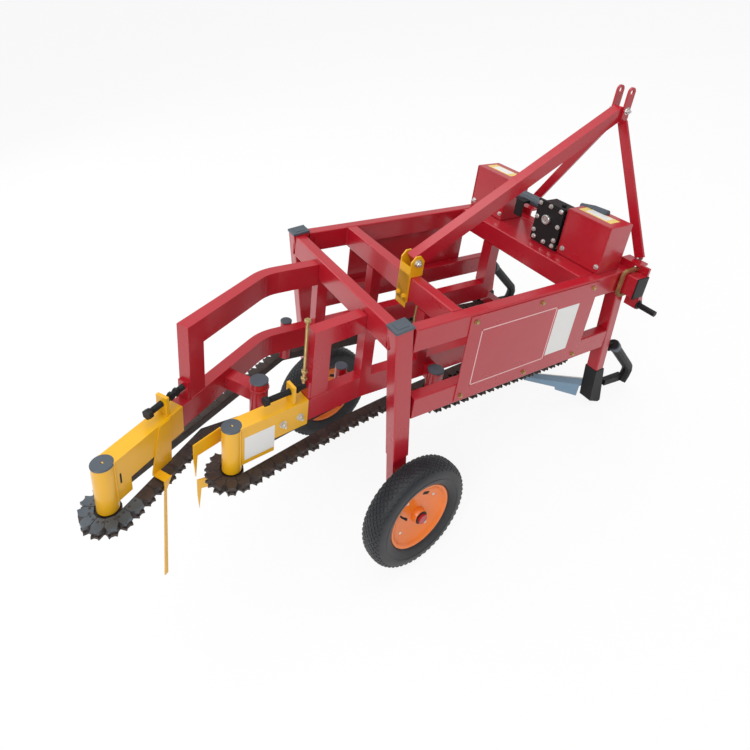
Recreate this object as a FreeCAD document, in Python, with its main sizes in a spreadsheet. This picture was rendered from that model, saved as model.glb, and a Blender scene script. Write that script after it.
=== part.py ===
import FreeCAD, Part
import math
import os
from FreeCAD import Placement, Rotation, Vector

# A mounted two-row peanut harvester: a red box frame on two wheels, four toothed gripping
# chains, two arches that carry the chains past the back, and a three-point hitch in front.
# Frame coordinates: x to the right from the frame's middle, y forward from the rear posts,
# z up from the top of the rails. The whole frame then pitches nose down until the wheels
# and the front shoes stand on the floor, and the floor is z = 0.

os.makedirs("parts", exist_ok=True)
doc = FreeCAD.newDocument("PeanutHarvester")

# Driving dimensions: word, millimetres or degrees, meaning.
DIMENSIONS = [
    ("pitch", 14.47, "frame nose down, degrees"),
    ("lean", 7.5, "posts against the rails' normal, degrees"),
    ("frame_wide", 713, "outside the rails"),
    ("rail_long", 1010, "rear posts to toolbar"),
    ("tube_high", 80, "rectangular tube"),
    ("tube_wide", 40, "rectangular tube"),
    ("corner", 5, "outside corner radius of tubes"),
    ("wall", 3, "tube wall"),
    ("rear_beam_y", 7, "rear face"),
    ("mid_beam_y", 231, "rear face"),
    ("front_beam_y", 814, "rear face"),
    ("post_wide", 50, "posts, across"),
    ("post_deep", 60, "posts, fore and aft"),
    ("rear_post_long", 520, "down to the open end"),
    ("front_post_long", 390, "down to the shoe"),
    ("front_post_y", 1004, "rear face at the rails' top"),
    ("front_post_top", 90, "front posts start below the rails"),
    ("front_post_wide", 50, "front posts across"),
    ("front_post_deep", 44, "front posts fore and aft"),
    ("lower_rail_top", -267, "top of the lower side rails"),
    ("panel_start", 276, "side panel's rear edge"),
    ("panel_end", 878, "side panel's front edge"),
    ("panel_high", 330, "side panel"),
    ("sheet_steel", 3, "panels and covers"),
    ("arch_left_x", -138.5, "left arch, middle of the straight"),
    ("arch_right_x", 178.5, "right arch, middle at the rear beam"),
    ("arch_left_bend", -185, "where the left arch turns"),
    ("arch_left_turn", 32, "degrees to the right"),
    ("arch_right_turn", 7, "degrees to the right"),
    ("arch_top", -20, "left upper arch tube's top"),
    ("arch_top_right", -28, "right upper arch tube's top"),
    ("arch_post", 60, "arches' rear uprights, fore and aft"),
    ("bend_r", 150, "left arch's bend, middle line"),
    ("arch_low_top", -267, "lower arch tube's top"),
    ("tail_left", 373, "bend to the left arch's rear corner"),
    ("tail_right", 190, "beam to the right arch's rear corner"),
    ("arm_wide", 50, "yellow arms, across"),
    ("arm_top", -262, "yellow arms' top"),
    ("arm_high", 92, "yellow arms at the sleeve"),
    ("arm_deep", 138, "yellow arms at the barrel"),
    ("side_arm_top", -290, "red arm of the second barrel"),
    ("barrel_r", 28.5, "bearing barrels"),
    ("barrel_top", -266, "bearing barrels"),
    ("barrel_low", -420, "bearing barrels"),
    ("barrel_left_y", -751, "left arm's barrel"),
    ("barrel_right_y", -425, "right arm's barrel"),
    ("chain_low", -448, "chains' underside"),
    ("chain_high", 26, "chains' height"),
    ("chain_tip", 72, "sprocket centre to the teeth's tips"),
    ("chain_root", 62, "sprocket centre to the teeth's roots"),
    ("chain_inner", 34, "sprocket centre to the links' inner edge"),
    ("tooth_pitch", 41.4, "from tooth to tooth"),
    ("drive_y", 935, "front sprockets"),
    ("toolbar_y", 1010, "rear face"),
    ("toolbar_deep", 60, "fore and aft"),
    ("toolbar_over", 60, "past each rail"),
    ("hitch_x", 71.5, "middle of the hitch"),
    ("hitch_half", 341, "middle to each lower pin's shoulder"),
    ("pin_ahead", 12, "lower pins ahead of the toolbar"),
    ("pin_z", -125, "lower pins"),
    ("pin_long", 70, "lower pins, free end"),
    ("pin_r", 11, "lower hitch pins"),
    ("mast_foot", 30, "mast's foot ahead of the toolbar"),
    ("mast_ahead", 53, "mast's head ahead of the toolbar"),
    ("ear_half", 24, "middle of the mast to each ear's middle"),
    ("ear_z", 587, "top link pin above the rails"),
    ("ear_hole_r", 9.7, "top link pin hole"),
    ("wheel_r", 203, "tyre outside"),
    ("tread_half", 14, "middle of the tyre to its crown's edge"),
    ("wheel_sides", 32, "flats round the tyres and rims"),
    ("rim_r", 125, "rim flange"),
    ("shaft_r", 17.5, "input shaft"),
    ("axle_r", 12.5, "stub axles"),
    ("axle_down", 726, "axle below the rails, along the leg"),
    ("axle_ahead", 20, "axle ahead of the leg's middle"),
    ("toe", 6, "wheels' turn in plan, degrees"),
    ("camber", 3, "wheels' lean, degrees"),
    ("right_wheel_x", 415, "wheel's middle"),
    ("left_wheel_x", -245, "wheel's middle"),
    ("place_x", -33.0, "origin to the frame's middle"),
    ("place_y", -171.81, "origin to the rear posts"),
]

sheet = doc.addObject("Spreadsheet::Sheet", "Params")
for row, (word, value, meaning) in enumerate(DIMENSIONS, start=1):
    sheet.set(f"A{row}", word)
    sheet.set(f"B{row}", str(value))
    sheet.set(f"C{row}", meaning)
    sheet.setAlias(f"B{row}", word)
doc.recompute()
size = {word: float(value) for word, value, meaning in DIMENSIONS}

X_AXIS = Vector(1, 0, 0)
Z_AXIS = Vector(0, 0, 1)
HALF = size["frame_wide"] / 2


def along_post(down, start_y):
    """Frame coordinates of a point on a post's rear face, a distance down the post."""
    lean = math.radians(size["lean"])
    return Vector(0, start_y + down * math.sin(lean), -down * math.cos(lean))


def pitched(lift):
    """From frame coordinates to the floor's."""
    return Placement(Vector(size["place_x"], size["place_y"], lift), Rotation(X_AXIS, -size["pitch"]))


AXLE = along_post(size["axle_down"], size["post_deep"] / 2 + size["axle_ahead"])
TILT = math.radians(size["camber"])
STAND = size["wheel_r"] * math.cos(TILT) + size["tread_half"] * math.sin(TILT)
LIFT = STAND - pitched(0).multVec(AXLE).z
FRAME = pitched(LIFT)
FLOOR_ITEMS = Placement()

pieces = []


def keep(item, label, place=FRAME):
    """Gives a finished sub-part its name and puts it in the pitched frame."""
    item.Label = label
    item.Placement = place.multiply(item.Placement)
    pieces.append(item)
    return item


def solid(label, shape, place=FRAME):
    item = doc.addObject("Part::Feature", label)
    item.Shape = shape
    return keep(item, label, place)


def plane_of(body, role):
    return next(part for part in body.Origin.OriginFeatures if part.Role == role)


def tube(label, across, tall, length, at, turn=Rotation(), role="XZ_Plane", bore=None, place=FRAME):
    """A straight tube: a rectangle sketched from its corner, padded and rounded along its length."""
    body = doc.addObject("PartDesign::Body", label)
    sketch = body.newObject("Sketcher::SketchObject", label + "_section")
    sketch.AttachmentSupport = [(plane_of(body, role), "")]
    sketch.MapMode = "FlatFace"
    rectangle(sketch, across, tall, 0)
    pad = body.newObject("PartDesign::Pad", label + "_pad")
    pad.Profile = sketch
    pad.Reversed = role == "XZ_Plane"
    pad.setExpression("Length", length)
    doc.recompute()
    long_edges = lengthwise(pad.Shape, role)
    rounding = body.newObject("PartDesign::Fillet", label + "_corners")
    rounding.Base = (pad, long_edges)
    rounding.setExpression("Radius", "Params.corner")
    body.Tip = rounding
    if bore:
        doc.recompute()
        hollow = body.newObject("Sketcher::SketchObject", label + "_bore")
        hollow.AttachmentSupport = [(plane_of(body, role), "")]
        hollow.MapMode = "FlatFace"
        rectangle(hollow, across, tall, 1)
        pocket = body.newObject("PartDesign::Pocket", label + "_pocket")
        pocket.Profile = hollow
        pocket.Type = "ThroughAll"
        pocket.Midplane = True
        body.Tip = pocket
    doc.recompute()
    body.Placement = Placement(Vector(*at), turn)
    return keep(body, label, place)


def rectangle(sketch, across, tall, inset):
    """A rectangle from the sketch's origin, or the bore inside it, one wall in."""
    corners = [Vector(0, 0, 0), Vector(10, 0, 0), Vector(10, 10, 0), Vector(0, 10, 0)]
    for first, second in zip(corners, corners[1:] + corners[:1]):
        sketch.addGeometry(Part.LineSegment(first, second))
    for line in range(4):
        sketch.addConstraint(constraint("Coincident", line, 2, (line + 1) % 4, 1))
    for line, way in ((0, "Horizontal"), (2, "Horizontal"), (1, "Vertical"), (3, "Vertical")):
        sketch.addConstraint(constraint(way, line))
    edge = "Params.wall" if inset else "0 mm"
    for way, value in (("DistanceX", edge), ("DistanceY", edge)):
        index = sketch.addConstraint(constraint(way, -1, 1, 0, 1, 1.0 if inset else 0.0))
        if inset:
            sketch.setExpression(f"Constraints[{index}]", value)
    for way, line, value in (("DistanceX", 0, across), ("DistanceY", 1, tall)):
        index = sketch.addConstraint(constraint(way, line, 1, line, 2, 10.0))
        less = f"{value} - 2 * Params.wall" if inset else value
        sketch.setExpression(f"Constraints[{index}]", less)


def constraint(*terms):
    import Sketcher
    return Sketcher.Constraint(*terms)


def lengthwise(shape, role):
    """Names of the edges that run along a pad."""
    way = {"XZ_Plane": Vector(0, 1, 0), "YZ_Plane": X_AXIS, "XY_Plane": Z_AXIS}[role]
    names = []
    for number, edge in enumerate(shape.Edges, start=1):
        run = edge.Vertexes[-1].Point - edge.Vertexes[0].Point
        if run.Length > 1 and abs(abs(run.normalize().dot(way)) - 1) < 1e-6:
            names.append(f"Edge{number}")
    return names


def block(across, deep, tall, x, y, z):
    return Part.makeBox(across, deep, tall, Vector(x, y, z))


def rod(radius, length, start, way):
    return Part.makeCylinder(radius, length, Vector(*start), Vector(*way))


def slab(points, z_low, z_high):
    """A flat outline in plan, raised from one height to another."""
    outline = Part.makePolygon([Vector(x, y, z_low) for x, y in points + points[:1]])
    return Part.Face(outline).extrude(Vector(0, 0, z_high - z_low))


def profile(points, x_low, x_high):
    """An outline seen from the side, drawn as (y, z), carried across from one x to another."""
    outline = Part.makePolygon([Vector(x_low, y, z) for y, z in points + points[:1]])
    return Part.Face(outline).extrude(Vector(x_high - x_low, 0, 0))


def offset_path(points, half):
    """The line beside a bent route, to the right of its direction, mitred at each bend."""
    route = [Vector(x, y, 0) for x, y in points]
    ways = [(after - before).normalize() for before, after in zip(route, route[1:])]
    sides = [Vector(way.y, -way.x, 0) for way in ways]
    line = [route[0] + sides[0] * half]
    for corner, first, second in zip(route[1:-1], sides, sides[1:]):
        middle = (first + second).normalize()
        line.append(corner + middle * (half / middle.dot(first)))
    line.append(route[-1] + sides[-1] * half)
    return line


def band(points, half, z_low, z_high):
    """A flat-topped tube or bar of constant width along a bent route."""
    right = offset_path(points, half)
    left = offset_path(points, -half)
    return slab([(p.x, p.y) for p in right + left[::-1]], z_low, z_high)


def eased(start, corner, end, radius, steps=5):
    """A route with its one corner eased into an arc of short flats."""
    first = (Vector(*corner, 0) - Vector(*start, 0)).normalize()
    second = (Vector(*end, 0) - Vector(*corner, 0)).normalize()
    turn = first.getAngle(second)
    side = 1 if first.cross(second).z > 0 else -1
    reach = radius * math.tan(turn / 2)
    point = Vector(*corner, 0) - first * reach
    route = [start, (point.x, point.y)]
    flat = 2 * radius * math.sin(turn / steps / 2)
    for step in range(steps):
        way = Rotation(Z_AXIS, math.degrees(side * turn * (step + 0.5) / steps)).multVec(first)
        point = point + way * flat
        route.append((point.x, point.y))
    return route + [end]


def turned(x, y, turn, distance):
    """The point a distance back from (x, y), turned to the right by an angle."""
    angle = math.radians(turn)
    return (x + distance * math.sin(angle), y - distance * math.cos(angle))


# Box frame: rails, beams, posts, lower rails and side panels.
def box_frame():
    rail = "Params.tube_high"
    width = "Params.tube_wide"
    for side, x in (("left", -HALF), ("right", HALF - size["tube_wide"])):
        y = along_post(size["tube_high"], 0).y + size["post_deep"] / math.cos(math.radians(size["lean"])) + 0.5
        tube(f"{side}_top_rail", width, rail, f"Params.rail_long - {y}", (x, y, -size["tube_high"]))
        low = size["lower_rail_top"] - size["tube_high"]
        start = along_post(-low, 0).y + size["post_deep"] + 3
        front = along_post(-size["lower_rail_top"], size["front_post_y"]).y - 1
        doc.recompute()
        tube(f"{side}_lower_rail", width, rail, f"{front - start}", (x, start, low))
    inside = -HALF + size["post_wide"]
    for name in ("rear", "mid", "front"):
        gap = size["post_wide"] if name == "rear" else size["tube_wide"]
        y = size[f"{name}_beam_y"]
        tube(f"{name}_beam", width, rail, f"Params.frame_wide - 2 * {gap}",
             (-HALF + gap, y, -size["tube_high"]), role="YZ_Plane")


def posts():
    lean = Rotation(X_AXIS, size["lean"])
    rows = (("rear", "post", 0.0, 0.0),
            ("front", "front_post", size["front_post_y"], size["front_post_top"]))
    for side in ("left", "right"):
        for end, kind, y, top in rows:
            x = -HALF if side == "left" else HALF - size[f"{kind}_wide"]
            at = along_post(top + size[f"{end}_post_long"], y)
            tube(f"{side}_{end}_post", f"Params.{kind}_wide", f"Params.{kind}_deep",
                 f"Params.{end}_post_long", (x, at.y, at.z), lean, "XY_Plane", bore=True)


def panels():
    for side, x in (("left", -HALF - size["sheet_steel"]), ("right", HALF)):
        panel = doc.addObject("Part::Box", f"{side}_side_panel")
        panel.setExpression("Length", "Params.sheet_steel")
        panel.setExpression("Width", "Params.panel_end - Params.panel_start")
        panel.setExpression("Height", "Params.panel_high")
        panel.Placement = Placement(Vector(x, size["panel_start"], -size["panel_high"] - 8), Rotation())
        doc.recompute()
        keep(panel, f"{side}_side_panel")


# Arches: the tubes that hold the chains past the rear beam.
def arches():
    half = size["tube_wide"] / 2
    high = size["tube_high"]
    back = size["rear_beam_y"] - 0.5
    low = size["arch_low_top"]
    left = (size["arch_left_x"], size["arch_left_bend"])
    right = (size["arch_right_x"], size["rear_beam_y"])
    rows = (
        ("left_arch", left, size["arch_left_turn"], size["tail_left"], size["bend_r"],
         size["arch_top"], high, 62, size["front_beam_y"] + 50),
        ("right_arch", right, size["arch_right_turn"], size["tail_right"], 60,
         size["arch_top_right"], 60, 22, 560),
    )
    for label, corner, turn, tail, radius, top, deep, stub, end_y in rows:
        x = corner[0]
        rear = turned(*corner, turn, tail)
        inner = turned(*corner, turn, tail - size["arch_post"])
        tip = turned(*corner, turn, tail + stub)
        if label == "left_arch":
            upper_route = eased(rear, corner, (x, back), radius)
            lower_route = eased(tip, corner, (x, end_y), radius)
        else:
            upper_route = [rear, turned(*corner, turn, 3.5)]
            lower_route = eased(tip, corner, (x, end_y), radius)
        upper = band(upper_route, half, top - deep, top)
        lower = band(lower_route, half, low - high, low)
        post = band([rear, inner], half, low, top - deep)
        leg = block(2 * half, 40, -high - 0.5 - low, x - half, size["rear_beam_y"], low)
        hanger = block(2 * half, 40, -high - 0.5 - low, x - half, size["mid_beam_y"], low)
        shape = upper.fuse([lower, post, leg, hanger, tension_tab(corner, turn, tail)])
        if end_y > size["front_beam_y"]:
            front = block(50, 50, -high - 0.5 - low, x - 25, size["front_beam_y"], low)
            shape = shape.fuse(front)
        solid(label, shape.removeSplitter())


def tension_tab(corner, turn, tail):
    """The tab behind an arch's upright that the tension screw pushes on."""
    near = turned(*corner, turn, tail)
    far = turned(*corner, turn, tail + 9)
    low = size["arch_low_top"]
    return band([far, near], 18, low - 2, low + 62)


def barrel(x, y, low=None):
    low = size["barrel_low"] if low is None else low
    return rod(size["barrel_r"], size["barrel_top"] - low, (x, y, low), (0, 0, 1))


def arms():
    """Yellow arms: a sleeve on the arch's tail, a deeper cheek, a lug and the bearing barrel."""
    half = size["arm_wide"] / 2
    top = size["arm_top"]
    left = (size["arch_left_x"], size["arch_left_bend"])
    right = (size["arch_right_x"], size["rear_beam_y"])
    rows = (
        ("left_arm", left, size["arch_left_turn"], size["tail_left"], size["barrel_left_y"], 40, 60),
        ("right_arm", right, size["arch_right_turn"], size["tail_right"], size["barrel_right_y"], 10, 122),
    )
    for label, start, turn, tail, barrel_y, sleeve, cheek_long in rows:
        reach = (start[1] - barrel_y) / math.cos(math.radians(turn))
        end = turned(*start, turn, reach)
        first = turned(*start, turn, tail + sleeve)
        cheek = turned(*start, turn, reach - cheek_long)
        body = band([end, first], half, top - size["arm_high"], top)
        deep = band([end, cheek], half, top - size["arm_deep"], top)
        near = turned(*start, turn, tail + sleeve + 42)
        far = turned(*start, turn, tail + sleeve + 52)
        lug = band([far, near], 19, top - 1, top + 62)
        tail_end = tail + (62 if label == "left_arm" else 22)
        bore = band([turned(*start, turn, tail_end + 0.5), turned(*start, turn, tail)],
                    size["tube_wide"] / 2 + 0.2, size["arch_low_top"] - size["tube_high"] - 0.2,
                    size["arch_low_top"] + 0.2)
        hole = screw(start, turn, tail, 9)
        shape = body.fuse([deep, lug, barrel(*end)]).removeSplitter().cut(bore).cut(hole)
        solid(label, shape)


def screw(start, turn, tail, radius):
    """A tension screw from the arch's tab back through the arm's lug."""
    x, y = turned(*start, turn, tail + 10)
    angle = math.radians(turn)
    way = (math.sin(angle), -math.cos(angle), 0)
    return rod(radius, 125, (x, y, size["arm_top"] + 38), way)


def tension_screws():
    left = (size["arch_left_x"], size["arch_left_bend"])
    right = (size["arch_right_x"], size["rear_beam_y"])
    shapes = []
    for start, turn, tail in ((left, size["arch_left_turn"], size["tail_left"]),
                              (right, size["arch_right_turn"], size["tail_right"])):
        stem = screw(start, turn, tail, 8)
        x, y = turned(*start, turn, tail + 134)
        angle = math.radians(turn)
        head = rod(13, 12, (x, y, size["arm_top"] + 38), (math.sin(angle), -math.cos(angle), 0))
        shapes.append(stem.fuse(head).removeSplitter())
    return shapes


# Chains: each route is a closed list of wheels it runs round, as (x, y, radius to the tips).
def chain_routes():
    tip = size["chain_tip"]
    drive = size["drive_y"]
    left_end = turned(size["arch_left_x"], size["arch_left_bend"], size["arch_left_turn"],
                      (size["arch_left_bend"] - size["barrel_left_y"])
                      / math.cos(math.radians(size["arch_left_turn"])))
    right_end = turned(size["arch_right_x"], size["rear_beam_y"], size["arch_right_turn"],
                       (size["rear_beam_y"] - size["barrel_right_y"])
                       / math.cos(math.radians(size["arch_right_turn"])))
    x, y = right_end
    return {
        "chain_1": [(*left_end, tip), (x - 148, y - 20, tip - 72), (74.5 - 2, -10, 0), (41.5 - 2, 266, 0),
                    (-81, drive, tip), (-179.5, -77, 46)],
        "chain_2": [(*right_end, tip), (221.5, -10, 0), (187.5, 266, 0), (64, drive, tip),
                    (41.5, 266, 0), (76.5, -10, 0)],
        "chain_3": [(238, 290, tip - 26), (210.5, drive, tip)],
        "chain_4": [(-262, 290, tip - 26), (-227.5, drive, tip)],
    }


def tangent_loop(wheels):
    """The closed line that runs round the wheels with all of them on its left, as short flats."""
    count = len(wheels)
    ways = []
    for index in range(count):
        x1, y1, r1 = wheels[index]
        x2, y2, r2 = wheels[(index + 1) % count]
        gap = Vector(x2 - x1, y2 - y1, 0)
        lean = math.asin(max(-1, min(1, (r1 - r2) / gap.Length)))
        ways.append(math.atan2(gap.y, gap.x) + lean)
    line = []
    for index, (x, y, radius) in enumerate(wheels):
        before = ways[index - 1] - math.pi / 2
        after = ways[index] - math.pi / 2
        sweep = (after - before) % (2 * math.pi)
        after = before + (sweep if sweep < 1.6 * math.pi else sweep - 2 * math.pi)
        steps = max(1, int(abs(after - before) * radius / 12)) if radius > 1 else 1
        for step in range(steps + 1):
            angle = before + (after - before) * step / steps
            line.append(Vector(x + radius * math.cos(angle), y + radius * math.sin(angle), 0))
            if radius <= 1:
                break
    return line


def shifted(line, inward):
    """A closed counter-clockwise line moved inwards."""
    moved = []
    count = len(line)
    for index in range(count):
        before = (line[index] - line[index - 1])
        after = (line[(index + 1) % count] - line[index])
        if before.Length < 1e-6 or after.Length < 1e-6:
            continue
        first = Vector(-before.y, before.x, 0).normalize()
        second = Vector(-after.y, after.x, 0).normalize()
        middle = (first + second).normalize()
        moved.append(line[index] + middle * (inward / middle.dot(first)))
    return moved


def toothed(line, root, pitch):
    """The same line with a tooth at every pitch: root, tip, tip, as deep as the root's inset."""
    lengths = [(b - a).Length for a, b in zip(line, line[1:] + line[:1])]
    total = sum(lengths)
    teeth = round(total / pitch)
    marks = ((0.0, root), (0.28, 0.0), (0.72, 0.0))
    points = []
    edge = 0
    passed = 0.0
    for tooth in range(teeth):
        for share, inset in marks:
            goal = (tooth + share) * total / teeth
            while passed + lengths[edge] < goal:
                passed += lengths[edge]
                edge += 1
            a = line[edge]
            b = line[(edge + 1) % len(line)]
            way = (b - a).normalize()
            points.append(a + way * (goal - passed) + Vector(-way.y, way.x, 0) * inset)
    return points


def flat_face(line, height):
    points = [Vector(p.x, p.y, height) for p in line]
    return Part.Face(Part.makePolygon(points + points[:1]))


def chains():
    low = size["chain_low"]
    for label, wheels in chain_routes().items():
        tips = tangent_loop(wheels)
        outer = toothed(tips, size["chain_tip"] - size["chain_root"], size["tooth_pitch"])
        inner = shifted(tips, size["chain_tip"] - size["chain_inner"])
        ring = flat_face(outer, low).cut(flat_face(inner, low))
        solid(label, ring.extrude(Vector(0, 0, size["chain_high"])))


def bar(radius, sides, start, end):
    """A straight bar with flat sides between two points."""
    way = (end - start).normalize()
    side = way.cross(X_AXIS)
    if side.Length < 0.1:
        side = way.cross(Vector(0, 1, 0))
    side.normalize()
    other = way.cross(side)
    angles = [2 * math.pi * (k + 0.5) / sides for k in range(sides)]
    points = [start + side * radius * math.cos(a) + other * radius * math.sin(a) for a in angles]
    return Part.Face(Part.makePolygon(points + points[:1])).extrude(end - start)


def ngon(radius, sides, x, y, z, high):
    """A flat-sided wheel, as many sides as a sprocket has teeth."""
    points = [(x + radius * math.cos(2 * math.pi * k / sides), y + radius * math.sin(2 * math.pi * k / sides))
              for k in range(sides)]
    return slab(points, z, z + high)


def sprockets():
    """The end wheels inside the chains, each with its short shaft."""
    shapes = []
    for wheels in chain_routes().values():
        for x, y, radius in wheels:
            if radius == size["chain_tip"]:
                inner = size["chain_inner"] - 0.6
                wheel = ngon(inner, 12, x, y, size["chain_low"] + 2, 20)
                hub = ngon(20, 12, x, y, size["chain_low"] - 6, 33.8)
                shapes.append(wheel.fuse(hub).removeSplitter())
    return shapes


def drive_columns():
    """Two columns under the deck and the cross tube that carries the front sprockets."""
    shapes = sprockets()
    y = size["drive_y"]
    low = size["barrel_low"] + 0.2
    outer = [wheels[1][0] for label, wheels in chain_routes().items() if label in ("chain_3", "chain_4")]
    left, right = sorted(outer)
    frame = block(right - left, 40, 40, left, y - 20, low)
    for x in outer:
        column = ngon(26.4, 14, x, y, low, 408)
        flange = block(76, 76, 9, x - 38, y - 38, -20.6)
        frame = frame.fuse([column, flange])
    shapes.append(frame.removeSplitter())
    solid("drive_columns", Part.makeCompound(shapes))


def side_arm():
    """Short red arm from the left arch's tail to its guide barrel."""
    x, y = (81.5, -285)
    turn = math.radians(size["arch_left_turn"])
    way = (math.cos(turn), math.sin(turn))
    off = (x - size["arch_left_x"]) * way[0] + (y - size["arch_left_bend"]) * way[1]
    gap = off - size["tube_wide"] / 2 - 0.3
    start = (x - way[0] * gap, y - way[1] * gap)
    arm = band([start, (x, y)], 22, size["side_arm_top"] - 45, size["side_arm_top"])
    return arm.fuse(barrel(x, y)).removeSplitter()


def guide_barrels():
    """Guide barrels beside the lower arch tubes: left of the left one, and left of the right one."""
    low = size["barrel_low"]
    shapes = [side_arm()]
    for x, y, edge in ((-179.5, -77, size["arch_left_x"]), (123.5, -19, size["arch_right_x"])):
        post = rod(20, size["barrel_top"] - low, (x, y, low), (0, 0, 1))
        reach = edge - size["tube_wide"] / 2 - 0.3 - x
        lug = block(reach, 34, 45, x, y - 17, size["side_arm_top"] - 45)
        shapes.append(post.fuse(lug).removeSplitter())
    for name, edge in (("chain_3", size["arch_right_x"] + size["tube_wide"] / 2 + 0.3),
                       ("chain_4", -HALF + size["tube_wide"] + 0.3)):
        x, y, radius = chain_routes()[name][0]
        top = size["side_arm_top"] - 10
        post = rod(size["barrel_r"], top - low, (x, y, low), (0, 0, 1))
        arm = block(x - edge, 44, 45, edge, y - 22, top - 45)
        shapes.append(post.fuse(arm).removeSplitter())
    solid("guide_barrels", Part.makeCompound(shapes))


# Yellow sheet guards that keep vines off the barrels, drawn on the arms' own planes.
def vine_guards():
    corner = (size["arch_left_x"], size["arch_left_bend"])
    turn = size["arch_left_turn"]
    half = size["arm_wide"] / 2
    plates = (
        (half + 0.2, 4, [(463, -263), (505, -263), (540, -405), (540, -415), (470, -415)]),
        (67, 4, [(514, -411), (540, -411), (567, -781), (555, -781), (535, -446)]),
        (half + 0.2, 45.8, [(516, -411), (540, -411), (540, -415), (516, -415)]),
    )
    side = Vector(math.cos(math.radians(turn)), math.sin(math.radians(turn)), 0)
    parts = []
    for off, thick, outline in plates:
        points = []
        for back, height in outline:
            x, y = turned(*corner, turn, back)
            points.append(Vector(x, y, height) + side * off)
        parts.append(Part.Face(Part.makePolygon(points + points[:1])).extrude(side * thick))
    shapes = [parts[0].fuse(parts[1:]).removeSplitter()]
    upper = (((187, -441), (-300, -352)), ((222, -528), (-300, -345)), ((224, -544), (-360, -420)))
    lower = (((207, -470), (-456, -496)), ((203, -518), (-456, -492)), ((201, -533), (-520, -575)))
    for rows in (upper, lower):
        (x1, y1), (t1, b1) = rows[0]
        (x2, y2), (t2, b2) = rows[1]
        (x3, y3), (t3, b3) = rows[2]
        run = Vector(x2 - x1, y2 - y1, 0).normalize()
        across = Vector(run.y, -run.x, 0)
        points = [Vector(x1, y1, t1), Vector(x2, y2, t2), Vector(x2, y2, t3)]
        points += [Vector(x2, y2, b3) - run * 4, Vector(x2, y2, b2) - run * 12, Vector(x1, y1, b1)]
        shapes.append(Part.Face(Part.makePolygon(points + points[:1])).extrude(across * 4))
    solid("vine_guards", Part.makeCompound(shapes))


# Drive: deck, gearbox, covers and shafts ahead of the front beam.
def drive():
    x = size["hitch_x"]
    y = size["front_beam_y"] + size["tube_wide"]
    front = size["toolbar_y"] - y - 1
    wide = size["frame_wide"] - 2 * size["tube_wide"] - 1
    solid("deck", block(wide, front, 9, -wide / 2, y + 0.5, -11))
    case = block(110, 82, 150, x - 55, y + 38, 10)
    foot = block(120, 90, 11, x - 60, y + 34, -1.8)
    lid = block(125, 10, 165, x - 62.5, y + 28, 6)
    boss = rod(18, 6, (x - 6, y + 28.5, 104), (0, -1, 0))
    solid("gearbox", case.fuse([lid, foot, boss]).removeSplitter())
    for label, low, high in (("left_cover", -356, -163.5), ("right_cover", 142.5, 331.5)):
        solid(label, block(high - low, 119, 180, low, y + 36, 0.5))
    left = rod(22, x - 55.2 + 163.3, (-163.3, y + 84, 125), (1, 0, 0))
    right = rod(18, 142.3 - (x + 55.2), (x + 55.2, y + 84, 150), (1, 0, 0))
    input_end = rod(size["shaft_r"], 100, (x, y + 120.2, 95), (0, 1, 0))
    solid("drive_shafts", Part.makeCompound([left, right, input_end]))


def hitch():
    x = size["hitch_x"]
    y = size["toolbar_y"] + size["toolbar_deep"]
    tube("toolbar", "Params.toolbar_deep", "Params.tube_high", "Params.frame_wide + 2 * Params.toolbar_over",
         (-HALF - size["toolbar_over"], size["toolbar_y"] + 0.3, -size["tube_high"]), role="YZ_Plane")
    for side, sign in (("left", -1), ("right", 1)):
        shoulder = x + sign * (size["hitch_half"] + 0.0)
        inner = min(shoulder - sign * 32, shoulder - sign * 110)
        plate = profile([(y + 0.5, 28), (y + 0.5, -141), (y + 10.5, -141), (y + 10.5, 28)],
                        min(shoulder, shoulder - sign * 50), max(shoulder, shoulder - sign * 50))
        cheek = profile([(y + 10, -66), (y + 10, -141), (y + 24, -141), (y + 30, -112)],
                        min(shoulder, shoulder - sign * 12), max(shoulder, shoulder - sign * 12))
        flange = block(78, 50, 8, inner, y - 12, 21)
        upright = block(56, 8, 20.5, min(shoulder - sign * 54, shoulder - sign * 110), y - 12, 0.5)
        pin = rod(size["pin_r"], size["pin_long"] + 2,
                  (shoulder - sign * 2, y + size["pin_ahead"], size["pin_z"]), (sign, 0, 0))
        parts = [cheek, flange, upright, pin]
        solid(f"{side}_hitch_bracket", plate.fuse(parts).removeSplitter())
    foot_y = y + size["mast_foot"]
    mast_y = y + size["mast_ahead"]
    for side, sign in (("left", -1), ("right", 1)):
        foot = Vector(x + sign * (size["hitch_half"] - 66), foot_y, 39.0)
        head = Vector(x + sign * size["ear_half"], mast_y, 480)
        leg = flat_bar(foot, head, 36, 10)
        low = x + sign * size["ear_half"] - 4
        ear = block(8, 36, 117, low, mast_y - 18, 470)
        ear = ear.fuse(rod(18, 8, (low, mast_y, size["ear_z"]), (1, 0, 0)))
        hole = rod(size["ear_hole_r"], 20, (low - 4, mast_y, size["ear_z"]), (1, 0, 0))
        solid(f"{side}_mast_leg", leg.fuse(ear.cut(hole)).removeSplitter())
    inside = 2 * size["ear_half"] - 8.6
    brace_low = Vector(x, size["mid_beam_y"] + 20, 45)
    brace_high = Vector(x, mast_y - 6, 512)
    bolt = rod(8, inside, (x - inside / 2, mast_y, 520), (1, 0, 0))
    brace = square_bar(brace_low, brace_high, 50, inside)
    beam_y = size["mid_beam_y"]
    back = block(60, 6, 130, x - 30, beam_y - 6.3, -95)
    cheeks = [profile([(beam_y - 6.3, 0.3), (beam_y - 6.3, 55), (beam_y + 10, 75), (beam_y + 30, 75),
                       (beam_y + 46, 55), (beam_y + 46, 0.3)], cheek_x, cheek_x + 5)
              for cheek_x in (x - 30, x + 25)]
    clevis = back.fuse(cheeks).removeSplitter()
    solid("mast_brace", Part.makeCompound([brace.cut(clevis).fuse(bolt).removeSplitter(), clevis]))


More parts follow.
